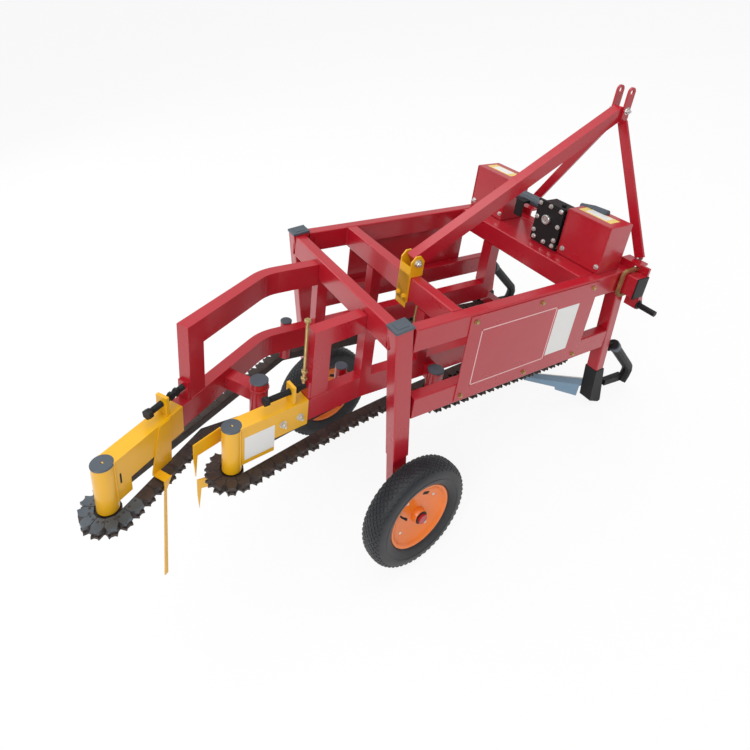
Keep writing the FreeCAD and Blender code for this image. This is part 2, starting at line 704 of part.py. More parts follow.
def flat_bar(start, end, wide, thick):
    """A flat bar between two points, facing fore and aft."""
    run = (end - start).normalize()
    side = Vector(0, 1, 0).cross(run).normalize()
    depth = run.cross(side)
    corners = [start + side * wide / 2, end + side * wide / 2, end - side * wide / 2, start - side * wide / 2]
    outline = Part.makePolygon([c - depth * thick / 2 for c in corners + corners[:1]])
    return Part.Face(outline).extrude(depth * thick)


def square_bar(start, end, tall, across):
    """A tube between two points in one fore and aft plane."""
    run = end - start
    side = X_AXIS.cross(run).normalize()
    corners = [start + side * tall / 2, end + side * tall / 2, end - side * tall / 2, start - side * tall / 2]
    back = Vector(across / 2, 0, 0)
    outline = Part.makePolygon([c - back for c in corners + corners[:1]])
    return Part.Face(outline).extrude(back * 2)


def u_bolts():
    """Two clamps that hold the toolbar to the rails' ends."""
    shapes = []
    back = size["toolbar_y"] - 16
    front = size["toolbar_y"] + size["toolbar_deep"]
    high = 10.0
    low = -size["tube_high"] - 10
    middle = (high + low) / 2
    for x in (-HALF - 12, HALF + 12):
        upper = eased((front, high), (back, high), (back, middle), 16, 3)
        lower = eased((back, middle), (back, low), (front, low), 16, 3)
        route = upper + lower[1:]
        outline = offset_path(route, 5.5) + offset_path(route, -5.5)[::-1]
        shapes.append(profile([(p.x, p.y) for p in outline], x - 5.5, x + 5.5))
    return shapes


# Front ground tools: shoes that stand on the floor, blades and vine dividers.
def shoes():
    shapes = []
    top = along_post(480.3, size["front_post_y"])
    wide = size["front_post_wide"]
    corners = [Vector(0, top.y - 2, top.z), Vector(0, top.y + size["front_post_deep"] + 4, top.z)]
    back, front = [FRAME.multVec(corner) for corner in corners]
    outline = [(back.y, back.z), (back.y - 12, 42), (front.y - 6, 0), (front.y + 8, 0),
               (front.y, front.z)]
    for low in (-HALF - 2, HALF - wide - 2):
        x = low + FRAME.Base.x
        shapes.append(profile(outline, x, x + wide + 4))
    solid("shoes", Part.makeCompound(shapes), Placement())


def blades():
    """Two swept digging blades, each a share and its rib, welded inside a shoe."""
    shapes = []
    for sign in (-1, 1):
        edge = sign * (HALF - size["post_wide"] - 2.5)
        share = [(edge, 1170), (edge, 1075), (sign * 164, 887), (sign * 142, 915)]
        plate = slab(share, -598, -590)
        start = Vector(edge, 1075, 0)
        end = Vector(sign * 164, 887, 0)
        run = end - start
        rib_outline = [(0, -597), (1, -597), (1, -606), (0.42, -620), (0.40, -634), (0, -650)]
        points = [start + run * share_way + Vector(0, 0, height) for share_way, height in rib_outline]
        thick = Vector(run.y, -run.x, 0).normalize() * 6
        if thick.y < 0:
            thick = thick * -1
        rib = Part.Face(Part.makePolygon(points + points[:1])).extrude(thick)
        shapes.append(plate.fuse(rib).removeSplitter())
    solid("blades", Part.makeCompound(shapes))


def dividers():
    """Bent tubes ahead of the front posts that part the vines, each linked back to its shoe."""
    route = [(1122, -357), (1297, -521), (1306, -545), (1302, -572), (1291, -596)]
    shapes = []
    for sign in (-1, 1):
        x = sign * (HALF - 1)
        points = [Vector(x, y, z) for y, z in route]
        parts = []
        for a, b in zip(points, points[1:]):
            way = (b - a).normalize()
            parts.append(bar(20.8, 10, a - way * 3, b + way * 3))
        low = min(sign * (HALF - 1), sign * (HALF - 25))
        link = profile([(1290, -570), (1290, -600), (1168, -588), (1168, -562)], low, low + 24)
        clamp = profile([(1102, -352), (1130, -352), (1130, -388), (1107, -388)], low, low + 24)
        shapes.append(parts[0].fuse(parts[1:] + [link, clamp]).removeSplitter())
    solid("dividers", Part.makeCompound(shapes))


# Wheels on telescoping legs, their axles turned and leaned together.
def wheels():
    lean = Rotation(X_AXIS, size["lean"])
    way = Rotation(Z_AXIS, size["toe"]).multVec(Rotation(Vector(0, 1, 0), -size["camber"]).multVec(X_AXIS))
    turn = Rotation(X_AXIS, way)
    wide = size["post_wide"] - 2 * size["wall"] - 1
    deep = size["post_deep"] - 2 * size["wall"] - 1
    rows = (("left", -HALF + size["wall"] + 0.5, size["left_wheel_x"]),
            ("right", HALF - size["post_wide"] + size["wall"] + 0.5, size["right_wheel_x"]))
    for side, x, wheel_x in rows:
        at = along_post(size["axle_down"] + 32, size["wall"] + 0.5)
        leg = Part.makeBox(wide - 5, deep, 340)
        leg.Placement = FRAME.multiply(Placement(Vector(x, at.y, at.z), lean))
        centre = FRAME.multVec(Vector(wheel_x, AXLE.y, AXLE.z))
        gap = (wheel_x - x - wide + 8) / way.x
        axle = rod(size["axle_r"], gap + 40, centre - way * gap, way)
        collar = rod(20, gap - 41, centre - way * gap, way)
        nut = rod(17, 9, centre + way * 36.5, way)
        solid(f"{side}_leg", leg.fuse([axle, collar, nut]).removeSplitter(), Placement())
        place = Placement(centre, turn)
        rim = lathe(RIM_HALF)
        bore = rod(size["axle_r"] + 0.1, 200, (-100, 0, 0), (1, 0, 0))
        rim = rim.cut(bore)
        for label, shape in ((f"{side}_rim", rim), (f"{side}_tyre", lathe(TYRE_HALF))):
            shape.Placement = place
            solid(label, shape, Placement())


# Half sections of the wheel as (across, radius), each closed round the axle.
RIM_HALF = [(32, 119), (32, 125), (27, 125), (22, 117), (-22, 117), (-27, 125), (-32, 125), (-32, 119),
            (-26, 112), (4, 108), (-5, 45), (-34, 28), (-34, 8), (34, 8), (34, 24), (10, 40), (18, 104)]
TYRE_HALF = [(-27, 125.6), (-21.6, 118), (21.6, 118), (27, 125.6), (33, 127), (43, 145), (46, 163),
             (42, 184), (32, 196), (14, 203), (-14, 203), (-32, 196), (-42, 184), (-46, 163), (-43, 145),
             (-33, 127)]


def lathe(half_section):
    """A ring with flat sides round the axle, one of its corners straight down."""
    sides = int(size["wheel_sides"])
    rings = []
    for step in range(sides):
        angle = 2 * math.pi * step / sides
        rings.append([Vector(a, r * math.sin(angle), -r * math.cos(angle)) for a, r in half_section])
    faces = []
    count = len(half_section)
    for ring, after in zip(rings, rings[1:] + rings[:1]):
        for k in range(count):
            n = (k + 1) % count
            corners = [ring[k], ring[n], after[n], after[k]]
            faces.append(Part.Face(Part.makePolygon(corners + corners[:1])))
    shell = Part.makeShell(faces)
    shape = Part.makeSolid(shell)
    if shape.Volume < 0:
        shape.reverse()
    return shape


box_frame()
posts()
panels()
arches()
arms()
chains()
drive_columns()
guide_barrels()
vine_guards()
drive()
hitch()
solid("clamp_screws", Part.makeCompound(tension_screws() + u_bolts()))
shoes()
blades()
dividers()
wheels()
doc.recompute()

for item in doc.Objects:
    if "Invalid" in item.State or "Error" in item.State:
        raise RuntimeError(f"{item.Label} did not build: {item.State}")
whole = FreeCAD.BoundBox()
for item in pieces:
    if item.Shape.isNull() or not item.Shape.isValid():
        raise RuntimeError(f"{item.Label} has no valid shape")
    item.Shape.exportStep(f"parts/{item.Label}.step")
    whole.add(item.Shape.BoundBox)
    print(item.Label, len(item.Shape.Solids), round(item.Shape.Volume / 1e6, 3))
print(len(pieces), "pieces", whole, whole.Center)
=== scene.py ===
import math
import random

import bmesh
import bpy
from mathutils import Matrix, Vector


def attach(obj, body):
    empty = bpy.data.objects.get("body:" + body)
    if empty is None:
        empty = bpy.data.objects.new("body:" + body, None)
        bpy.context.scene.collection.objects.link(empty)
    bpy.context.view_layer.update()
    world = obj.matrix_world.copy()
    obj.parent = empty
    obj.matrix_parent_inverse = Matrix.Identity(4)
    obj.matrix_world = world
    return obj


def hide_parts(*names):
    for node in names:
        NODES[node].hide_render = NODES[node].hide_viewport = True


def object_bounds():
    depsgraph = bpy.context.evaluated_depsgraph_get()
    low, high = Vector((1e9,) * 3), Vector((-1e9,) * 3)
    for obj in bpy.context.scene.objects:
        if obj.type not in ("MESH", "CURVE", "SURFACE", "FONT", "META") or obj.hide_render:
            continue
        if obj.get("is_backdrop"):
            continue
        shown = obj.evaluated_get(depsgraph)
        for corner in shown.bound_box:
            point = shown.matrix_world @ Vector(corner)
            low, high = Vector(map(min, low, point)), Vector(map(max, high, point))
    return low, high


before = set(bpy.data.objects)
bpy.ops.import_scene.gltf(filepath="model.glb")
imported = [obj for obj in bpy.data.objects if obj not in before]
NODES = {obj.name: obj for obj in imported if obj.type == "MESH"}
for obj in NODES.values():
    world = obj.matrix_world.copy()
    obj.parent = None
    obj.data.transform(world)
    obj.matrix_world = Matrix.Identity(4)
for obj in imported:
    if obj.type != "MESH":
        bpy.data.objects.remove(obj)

# Looks of a mounted two-row peanut harvester. Shapes are in millimetres in the box frame's own
# coordinates: x right from the middle, y forward from the rear posts, z up from the rails' top.
# AT turns them into metres where the machine stands.

random.seed(7)
CAD_LOW, CAD_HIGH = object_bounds()

PITCH = math.radians(14.47)
LEAN = math.radians(7.5)
TOE = math.radians(6)
CAMBER = math.radians(3)
HALF = 356.5
POST_WIDE, POST_DEEP = 50, 60
PLACE = (-33.0, -171.81)
MAST_X = 71.5
WHEEL_R = 203
CROWN_HALF = 14
AXLE_DOWN = 726
AXLE_Y = POST_DEEP / 2 + 20 + AXLE_DOWN * math.sin(LEAN)
AXLE_Z = -AXLE_DOWN * math.cos(LEAN)
STAND = WHEEL_R * math.cos(CAMBER) + CROWN_HALF * math.sin(CAMBER)
LIFT = STAND + AXLE_Y * math.sin(PITCH) - AXLE_Z * math.cos(PITCH)
AT = (Matrix.Scale(0.001, 4) @ Matrix.Translation((*PLACE, LIFT))
      @ Matrix.Rotation(-PITCH, 4, "X"))
WHEEL_X = {"left": -245, "right": 415}
WHEEL_WAY = Vector((math.cos(CAMBER) * math.cos(TOE), math.cos(CAMBER) * math.sin(TOE),
                    math.sin(CAMBER)))


# Materials
def shader(name, color, rough, metal=0.0, coat=0.0, vary=0.12, scale=5.0, bump=0.06,
           bump_scale=240.0, dust=None, dusty=0.12, rough_spread=0.1, sheen=0.0, specular=0.5):
    """A surface with uneven colour, uneven gloss, a fine skin and, if given, dust."""
    material = bpy.data.materials.new(name)
    material.use_nodes = True
    tree = material.node_tree
    link = tree.links.new
    base = tree.nodes["Principled BSDF"]
    base.inputs["Metallic"].default_value = metal
    base.inputs["Coat Weight"].default_value = coat
    base.inputs["Coat Roughness"].default_value = 0.12
    base.inputs["Sheen Weight"].default_value = sheen
    base.inputs["Specular IOR Level"].default_value = specular
    place = tree.nodes.new("ShaderNodeNewGeometry")

    def noise(size, detail=3.0, roughness=0.55):
        node = tree.nodes.new("ShaderNodeTexNoise")
        node.inputs["Scale"].default_value = size
        node.inputs["Detail"].default_value = detail
        node.inputs["Roughness"].default_value = roughness
        link(place.outputs["Position"], node.inputs["Vector"])
        return node.outputs["Fac"]

    def ranged(value, low, high, start=0.35, end=0.65):
        node = tree.nodes.new("ShaderNodeMapRange")
        node.inputs["From Min"].default_value = start
        node.inputs["From Max"].default_value = end
        node.inputs["To Min"].default_value = low
        node.inputs["To Max"].default_value = high
        link(value, node.inputs["Value"])
        return node.outputs["Result"]

    def mixed(share, first, second):
        node = tree.nodes.new("ShaderNodeMix")
        node.data_type = "RGBA"
        for socket, value in (("Factor", share), ("A", first), ("B", second)):
            target = [s for s in node.inputs if s.name == socket
                      and s.type == ("VALUE" if socket == "Factor" else "RGBA")][0]
            if isinstance(value, tuple):
                target.default_value = (*value, 1)
            else:
                link(value, target)
        return [s for s in node.outputs if s.type == "RGBA"][0]

    dark = tuple(c * (1 - vary) for c in color)
    light = tuple(min(1, c * (1 + vary)) for c in color)
    tone = mixed(ranged(noise(scale), 0, 1, 0.25, 0.75), dark, light)
    if dust:
        tone = mixed(ranged(noise(scale * 2.3, 6), 0, dusty, 0.42, 0.85), tone, dust)
    link(tone, base.inputs["Base Color"])
    link(ranged(noise(scale * 1.7, 5), rough - rough_spread / 2, rough + rough_spread / 2, 0.25, 0.75),
         base.inputs["Roughness"])
    skin = tree.nodes.new("ShaderNodeBump")
    skin.inputs["Strength"].default_value = bump
    skin.inputs["Distance"].default_value = 0.002
    link(noise(bump_scale, 4), skin.inputs["Height"])
    link(skin.outputs["Normal"], base.inputs["Normal"])
    return material


RED = shader("red_paint", (0.43, 0.006, 0.018), 0.3, coat=0.5, vary=0.05, bump=0.035,
             dust=(0.5, 0.05, 0.05))
YELLOW = shader("yellow_paint", (0.82, 0.42, 0.002), 0.34, coat=0.35, vary=0.05, bump=0.04,
                dust=(0.8, 0.5, 0.1))
ORANGE = shader("orange_paint", (0.86, 0.19, 0.010), 0.32, coat=0.4, vary=0.06, bump=0.04)
BLACK = shader("black_paint", (0.0065, 0.0065, 0.0075), 0.5, vary=0.25, bump=0.12, specular=0.35,
               dust=(0.03, 0.028, 0.026))
BLUE_GREY = shader("blue_grey_paint", (0.060, 0.078, 0.100), 0.45, coat=0.15, vary=0.12, bump=0.08)
BLADE = shader("blade_paint", (0.20, 0.33, 0.46), 0.36, coat=0.3, vary=0.08, dust=(0.3, 0.3, 0.28),
               dusty=0.3)
CHAIN = shader("chain_steel", (0.030, 0.021, 0.018), 0.5, metal=0.4, vary=0.35, scale=22, bump=0.3,
               bump_scale=160, dust=(0.07, 0.04, 0.026), dusty=0.5)
PLATE = shader("chain_plate", (0.052, 0.040, 0.036), 0.45, metal=0.5, vary=0.3, scale=18, bump=0.22,
               bump_scale=180, dust=(0.10, 0.062, 0.042), dusty=0.5)
PLATE_GREY = shader("chain_plate_grey", (0.085, 0.105, 0.125), 0.42, metal=0.5, vary=0.2, scale=18,
                    bump=0.18, dust=(0.10, 0.08, 0.07), dusty=0.35)
RUBBER = shader("tyre_rubber", (0.0105, 0.0125, 0.0165), 0.52, vary=0.25, scale=9, bump=0.15,
                bump_scale=420, dust=(0.03, 0.034, 0.038), dusty=0.3, sheen=0.1)
ZINC = shader("yellow_zinc", (0.46, 0.33, 0.14), 0.36, metal=0.8, vary=0.25, scale=40, bump=0.1)
SILVER = shader("silver_steel", (0.66, 0.66, 0.64), 0.3, metal=0.8, vary=0.1, scale=40, bump=0.06)
LABEL = shader("blank_label", (0.78, 0.78, 0.76), 0.42, vary=0.03, coat=0.2, bump=0.02)
LABEL_YELLOW = shader("blank_label_yellow", (0.80, 0.60, 0.16), 0.42, vary=0.05, coat=0.2, bump=0.02)
PRINT = shader("painted_line", (0.80, 0.48, 0.48), 0.4, vary=0.05, coat=0.3, bump=0.03)
# Flat near-black for painted shade: dark plates laid where holes and slots show only shade.
HOLE_SHADE = shader("painted_hole_shade", (0.006, 0.005, 0.005), 0.7, vary=0.3)


# Mesh building
def piece(name, mesh, material, body="machine", smooth=None, bevel=0.0, place=AT):
    """A new piece from a bmesh in millimetres, put in the row's frame on its body."""
    data = bpy.data.meshes.new(name)
    mesh.transform(place)
    bmesh.ops.recalc_face_normals(mesh, faces=mesh.faces)
    mesh.to_mesh(data)
    mesh.free()
    item = bpy.data.objects.new(name, data)
    bpy.context.scene.collection.objects.link(item)
    data.materials.append(material)
    if bevel:
        soften(item, bevel)
    if smooth is not None:
        for face in data.polygons:
            face.use_smooth = True
        data.set_sharp_from_angle(angle=math.radians(smooth))
    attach(item, body)
    return item


def soften(item, width):
    """Rounds the hard edges, after joining the flat triangles into whole faces."""
    flat = item.modifiers.new("flat", "DECIMATE")
    flat.decimate_type = "DISSOLVE"
    flat.angle_limit = math.radians(1.5)
    edge = item.modifiers.new("edge", "BEVEL")
    edge.width = width * 0.001
    edge.segments = 2
    edge.limit_method = "ANGLE"
    edge.angle_limit = math.radians(35)
    edge.harden_normals = False


def add_box(mesh, low, high, turn=None, about=(0, 0, 0)):
    """A box between two corners, turned about a point by a matrix if given."""
    made = bmesh.ops.create_cube(mesh, size=1)["verts"]
    for vert in made:
        vert.co = Vector((low[i] + (vert.co[i] + 0.5) * (high[i] - low[i]) for i in range(3)))
        if turn is not None:
            vert.co = turn @ (vert.co - Vector(about)) + Vector(about)
    return made


def add_lathe(mesh, profile, centre, way, sides, closed=False, start=0.0):
    """Turns a profile of (along, radius) about an axis. Ends at radius 0 are closed to a point."""
    way = Vector(way).normalized()
    side = way.orthogonal().normalized()
    other = way.cross(side)
    rings = []
    for along, radius in profile:
        at = Vector(centre) + way * along
        if radius < 1e-6:
            rings.append([mesh.verts.new(at)])
            continue
        ring = []
        for k in range(sides):
            angle = start + 2 * math.pi * k / sides
            ring.append(mesh.verts.new(at + (side * math.cos(angle) + other * math.sin(angle)) * radius))
        rings.append(ring)
    pairs = list(zip(rings, rings[1:])) + ([(rings[-1], rings[0])] if closed else [])
    for a, b in pairs:
        for k in range(sides):
            n = (k + 1) % sides
            corners = [a[k % len(a)], a[n % len(a)], b[n % len(b)], b[k % len(b)]]
            unique = list(dict.fromkeys(corners))
            if len(unique) > 2:
                mesh.faces.new(unique)


def add_bolt(mesh, at, way, across=13, high=8, washer=1.6, shank=0):
    """A hex bolt head with its washer, chamfered on top, looking along way."""
    r = across / math.sqrt(3)
    add_lathe(mesh, [(0, 0), (0, across * 0.78), (washer, across * 0.78), (washer, 0)], at, way, 20)
    add_lathe(mesh, [(washer, 0), (washer, r), (washer + high * 0.82, r), (washer + high, r * 0.86),
                     (washer + high, 0)], at, way, 6, start=random.random())
    if shank:
        add_lathe(mesh, [(washer + high - 1, 0), (washer + high - 1, r * 0.52),
                         (washer + high + shank, r * 0.52), (washer + high + shank + 1.5, r * 0.36),
                         (washer + high + shank + 1.5, 0)], at, way, 12)


def add_thread(mesh, start, end, radius, pitch=2.6, sides=20, valley=0.84):
    """A threaded rod as ridges turned round its axis."""
    start, end = Vector(start), Vector(end)
    long = (end - start).length
    profile = [(0, 0), (0, radius * 0.8)]
    for k in range(int(long / pitch)):
        profile += [((k + 0.5) * pitch, radius), ((k + 1) * pitch, radius * valley)]
    profile += [(long, radius * 0.8), (long, 0)]
    add_lathe(mesh, profile, start, end - start, sides)


def add_weld(mesh, points, radius=3.4, closed=False):
    """A rippled weld bead along straight runs between points."""
    points = [Vector(p) for p in points]
    runs = list(zip(points, points[1:])) + ([(points[-1], points[0])] if closed else [])
    for a, b in runs:
        long = (b - a).length
        steps = max(2, int(long / 2.2))
        profile = [(0, 0)]
        for k in range(steps + 1):
            ripple = 1 + 0.2 * math.cos(k * 2.1) + random.uniform(-0.05, 0.05)
            profile.append((k * long / steps, radius * ripple))
        profile.append((long, 0))
        add_lathe(mesh, profile, a, b - a, 8)


def ring_points(centre, radius, count=24):
    """Points round a level circle."""
    return [(centre[0] + radius * math.cos(2 * math.pi * k / count),
             centre[1] + radius * math.sin(2 * math.pi * k / count), centre[2]) for k in range(count)]


def add_tube(mesh, points, radius, sides=16):
    """A round bar along points, mitred at the bends and closed at the ends."""
    points = [Vector(p) for p in points]
    ways = [(b - a).normalized() for a, b in zip(points, points[1:])]
    side = ways[0].orthogonal().normalized()
    rings = []
    for k, at in enumerate(points):
        before, after = ways[max(k - 1, 0)], ways[min(k, len(ways) - 1)]
        way = (before + after).normalized()
        side = (side - way * side.dot(way)).normalized()
        other = way.cross(side)
        stretch = 1 / max(0.5, way.dot(after))
        rings.append([mesh.verts.new(at + (side * math.cos(t) + other * math.sin(t)) * radius
                                     * (1 if k in (0, len(points) - 1) else stretch ** 0.5))
                      for t in (2 * math.pi * n / sides for n in range(sides))])
    for a, b in zip(rings, rings[1:]):
        for k in range(sides):
            n = (k + 1) % sides
            mesh.faces.new((a[k], a[n], b[n], b[k]))
    mesh.faces.new(rings[0][::-1])
    mesh.faces.new(rings[-1])


def turned(x, y, turn, distance, side=0.0):
    """A point back along a line turned to the right, and off to its right side."""
    angle = math.radians(turn)
    return (x + distance * math.sin(angle) + side * math.cos(angle),
            y - distance * math.cos(angle) + side * math.sin(angle))


# Finishes of the CAD nodes, with their hard edges eased.
FINISH = {"chain": CHAIN, "clamp_screws": ZINC, "gearbox": BLACK, "shoes": BLACK, "dividers": BLACK,
          "blades": BLADE, "drive_shafts": BLUE_GREY, "left_arm": YELLOW, "right_arm": YELLOW,
          "vine_guards": YELLOW, "left_rim": ORANGE, "right_rim": ORANGE, "left_tyre": RUBBER,
          "right_tyre": RUBBER}
EASE = {"chain": 0.8, "vine_guards": 0.7, "clamp_screws": 0.6, "left_side_panel": 0.6,
        "right_side_panel": 0.6}
for name, node in NODES.items():
    key = "chain" if name.startswith("chain") else name
    node.data.materials.clear()
    node.data.materials.append(FINISH.get(key, RED))
    soften(node, EASE.get(key, 1.6))
    for face in node.data.polygons:
        face.use_smooth = True
    node.data.set_sharp_from_angle(angle=math.radians(32))


def second_paint(name, material, chosen):
    """Gives the faces of a CAD node that lie in the chosen part of it a second paint."""
    data = NODES[name].data
    data.materials.append(material)
    back = AT.inverted()
    for face in data.polygons:
        if chosen(back @ face.center):
            face.material_index = len(data.materials) - 1


def on_clevis(at):
    """Whether a point lies on the clevis behind the brace, not on the brace."""
    return at.y < CLEVIS_BACK or (abs(at.x - MAST_X) > CLEVIS_INNER and at.y < CLEVIS_FRONT)


TOOLBAR_SIDE = 700
BARREL_FOOT = -414
CLEVIS_BACK, CLEVIS_FRONT, CLEVIS_INNER = 232, 290, 24.5
PIN_SHOULDER = 341
second_paint("clamp_screws", BLACK, lambda at: at.y < TOOLBAR_SIDE)
second_paint("drive_columns", CHAIN, lambda at: at.z < BARREL_FOOT)
second_paint("guide_barrels", CHAIN, lambda at: at.z < BARREL_FOOT)
second_paint("mast_brace", YELLOW, on_clevis)
for side in ("left", "right"):
    second_paint(f"{side}_hitch_bracket", BLACK, lambda at: abs(at.x - MAST_X) > PIN_SHOULDER + 0.5)

# Wheels: smooth tyres with a diamond tread, dished rims. Sections are (along the axle, radius).
TYRE_SKIN = [(-27, 124), (-30, 126), (-33, 128.5), (-36, 130), (-38.5, 135), (-43, 145), (-45, 153),
             (-46, 163), (-45, 173), (-42, 183), (-38, 189), (-32, 194), (-24, 197.4), (-14, 199.6),
             (0, 200.2)]
CROWN = len(TYRE_SKIN) - 1
TYRE_SKIN = TYRE_SKIN + [(-a, r) for a, r in TYRE_SKIN[-2::-1]] + [(21.6, 119), (-21.6, 119)]
RIM_SKIN = [(32, 119), (32, 123.6), (30.5, 125), (28, 125), (26.5, 123.5), (24, 119), (21, 117),
            (-21, 117), (-24, 119), (-26.5, 123.5), (-28, 125), (-30.5, 125), (-32, 123.6), (-32, 119),
            (-28, 113), (-20, 111), (2, 109), (4, 104), (-1, 70), (-4, 40), (-6, 28), (-34, 26),
            (-34, 12.7), (34, 12.7), (34, 24), (32, 26), (12, 28), (9, 36), (10, 60), (15, 92),
            (20, 107), (24, 111), (28, 113)]
TREAD_ROWS, TREAD_COUNT = range(-5, 6), 54
TREAD_STEP, BLOCK_LONG, BLOCK_WIDE, BLOCK_HIGH = 8.6, 6.6, 9.6, 2.8
BEAD_RINGS = (139, 142, 156)
SLOT = [(-5.5, -15), (5.5, -15), (7, -9), (7, 9), (5.5, 15), (-5.5, 15), (-7, 9), (-7, -9)]
SLOT_R, SLOT_SPIN = 80, math.radians(52)
RIVET_R = 84


def wheel_place(side):
    """Places a wheel's own millimetres, x along its axle, on its leg."""
    centre = AT @ Vector((WHEEL_X[side], AXLE_Y, AXLE_Z))
    turn = Vector((1, 0, 0)).rotation_difference(WHEEL_WAY)
    return Matrix.Translation(centre) @ turn.to_matrix().to_4x4() @ Matrix.Scale(0.001, 4)


def skin_at(arc):
    """Across and radius on the tyre's crown, an arc length from its middle."""
    half = TYRE_SKIN[CROWN:CROWN + 12]
    left = abs(arc)
    for (a0, r0), (a1, r1) in zip(half, half[1:]):
        long = math.hypot(a1 - a0, r1 - r0)
        if left <= long:
            share = left / long
            a, r = a0 + (a1 - a0) * share, r0 + (r1 - r0) * share
            return (math.copysign(a, arc), r, math.copysign(1, arc) * (r0 - r1) / long, (a1 - a0) / long)
        left -= long
    return (math.copysign(half[-1][0], arc), half[-1][1], math.copysign(1, arc), 0.0)


def add_tread(mesh):
    """Staggered diamond blocks over the crown and shoulders, smaller down the sides."""
    for row in TREAD_ROWS:
        for step in range(TREAD_COUNT):
            angle = 2 * math.pi * (step + 0.5 * (row % 2)) / TREAD_COUNT
            corners = []
            grow = 1.0 if abs(row) < 4 else 0.8
            for along, around in ((-BLOCK_LONG, 0), (0, BLOCK_WIDE), (BLOCK_LONG, 0), (0, -BLOCK_WIDE)):
                for lift in (0.0, BLOCK_HIGH):
                    inset = 0.8 if lift else 1.0
                    a, r, na, nr = skin_at(row * TREAD_STEP + along * grow * inset)
                    a += na * (lift - 0.6)
                    r += nr * (lift - 0.6)
                    turn = angle + around * grow * inset / max(r, 1)
                    corners.append(mesh.verts.new((a, r * math.sin(turn), -r * math.cos(turn))))
            low, top = corners[0::2], corners[1::2]
            mesh.faces.new(top)
            for k in range(4):
                mesh.faces.new((low[k], low[(k + 1) % 4], top[(k + 1) % 4], top[k]))


for side in ("left", "right"):
    place = wheel_place(side)
    body = f"{side}_wheel"
    mesh = bmesh.new()
    add_lathe(mesh, TYRE_SKIN, (0, 0, 0), (1, 0, 0), 128, closed=True)
    tyre = piece(f"{side}_tyre_skin", mesh, RUBBER, body, smooth=60, place=place)
    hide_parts(f"{side}_tyre")
    mesh = bmesh.new()
    add_tread(mesh)
    piece(f"{side}_tread", mesh, RUBBER, body, smooth=20, place=place)
    mesh = bmesh.new()
    for ring in BEAD_RINGS:
        for sign in (-1, 1):
            across = next(a for a, r in TYRE_SKIN[CROWN:] if r <= ring)
            profile = [(0, ring - 1.4), (1.5, ring), (0, ring + 1.4)]
            add_lathe(mesh, profile, (sign * (across + 0.2), 0, 0), (sign, 0, 0), 96)
    piece(f"{side}_bead_lines", mesh, RUBBER, body, smooth=60, place=place)
    mesh = bmesh.new()
    add_lathe(mesh, RIM_SKIN, (0, 0, 0), (1, 0, 0), 96, closed=True)
    rim = piece(f"{side}_rim_skin", mesh, ORANGE, body, smooth=40, place=place)
    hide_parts(f"{side}_rim")
    mesh = bmesh.new()
    # Dark plates on the rim's face at the valve slot: painted shade standing in for the hole.
    for face_x in (12.6, 13.4):
        ring = []
        for out, t in SLOT:
            r = SLOT_R + out
            y = r * math.cos(SLOT_SPIN) - t * math.sin(SLOT_SPIN)
            z = r * math.sin(SLOT_SPIN) + t * math.cos(SLOT_SPIN)
            ring.append(mesh.verts.new((face_x + out * 0.16, y, z)))
        mesh.faces.new(ring)
    piece(f"{side}_valve_slot_shade", mesh, HOLE_SHADE, body, place=place)
    mesh = bmesh.new()
    for k in range(4):
        angle = math.radians(20 + 90 * k)
        at = (12.2, RIVET_R * math.cos(angle), RIVET_R * math.sin(angle))
        add_lathe(mesh, [(0, 6.4), (1.8, 6), (3.2, 3.6), (3.6, 0)], at, (1, 0, 0), 16)
    piece(f"{side}_rim_rivets", mesh, SILVER, body, smooth=50, place=place)
    mesh = bmesh.new()
    add_tube(mesh, [(20, -70, 62), (27, -66, 58), (33, -60, 53)], 3.4, 12)
    add_lathe(mesh, [(0, 0), (0, 4.6), (8, 4.6), (9, 3.4), (9, 0)], (31, -62, 55), (0.7, 0.5, -0.4), 12)
    piece(f"{side}_valve", mesh, BLACK, body, smooth=40, place=place)
    mesh = bmesh.new()
    add_lathe(mesh, [(34.1, 12.9), (34.1, 23), (35.4, 24), (36.2, 23), (36.2, 12.9)], (0, 0, 0),
              (1, 0, 0), 32, closed=True)
    piece(f"{side}_hub_seal", mesh, BLACK, body, smooth=40, place=place)


# Caps: rear posts, barrels, toolbar ends.
def post_cap(x):
    """A plastic cap with a raised middle, square to the leaning post."""
    mesh = bmesh.new()
    turn = Matrix.Rotation(LEAN, 3, "X")
    add_box(mesh, (x - 1.5, -1.5, 0.2), (x + POST_WIDE + 1.5, POST_DEEP + 2.5, 9), turn, (x, 0, 0))
    add_box(mesh, (x + 10, 12, 8.5), (x + 40, 50, 10.5), turn, (x, 0, 0))
    return mesh


piece("left_post_cap", post_cap(-HALF), BLUE_GREY, bevel=2.6)
piece("right_post_cap", post_cap(HALF - POST_WIDE), BLUE_GREY, bevel=2.6)

# Each arm starts at a bend of its arch, turns right, and ends at its barrel.
LEFT_BEND = (-138.5, -185)
RIGHT_START = (178.5, 7)
LEFT_TURN, RIGHT_TURN = 32, 7
LEFT_TAIL, RIGHT_TAIL = 373, 190
LEFT_REACH = (LEFT_BEND[1] + 751) / math.cos(math.radians(LEFT_TURN))
RIGHT_REACH = (RIGHT_START[1] + 425) / math.cos(math.radians(RIGHT_TURN))
LEFT_BARREL = turned(*LEFT_BEND, LEFT_TURN, LEFT_REACH)
RIGHT_BARREL = turned(*RIGHT_START, RIGHT_TURN, RIGHT_REACH)
ARMS = ((LEFT_TURN, LEFT_BEND, LEFT_TAIL), (RIGHT_TURN, RIGHT_START, RIGHT_TAIL))
CHAIN_LOW, CHAIN_HIGH, TIP, TOOTH = -448, 26, 72, 41.4
BARREL_R, POST_R = 28.5, 20
BARREL_TOP, INNER_TOP = -266, -300
SIDE_BARREL = (81.5, -285)
LEFT_GUIDE, RIGHT_GUIDE = (-179.5, -77), (123.5, -19)
LEFT_INNER, RIGHT_INNER = (-262, 290), (238, 290)

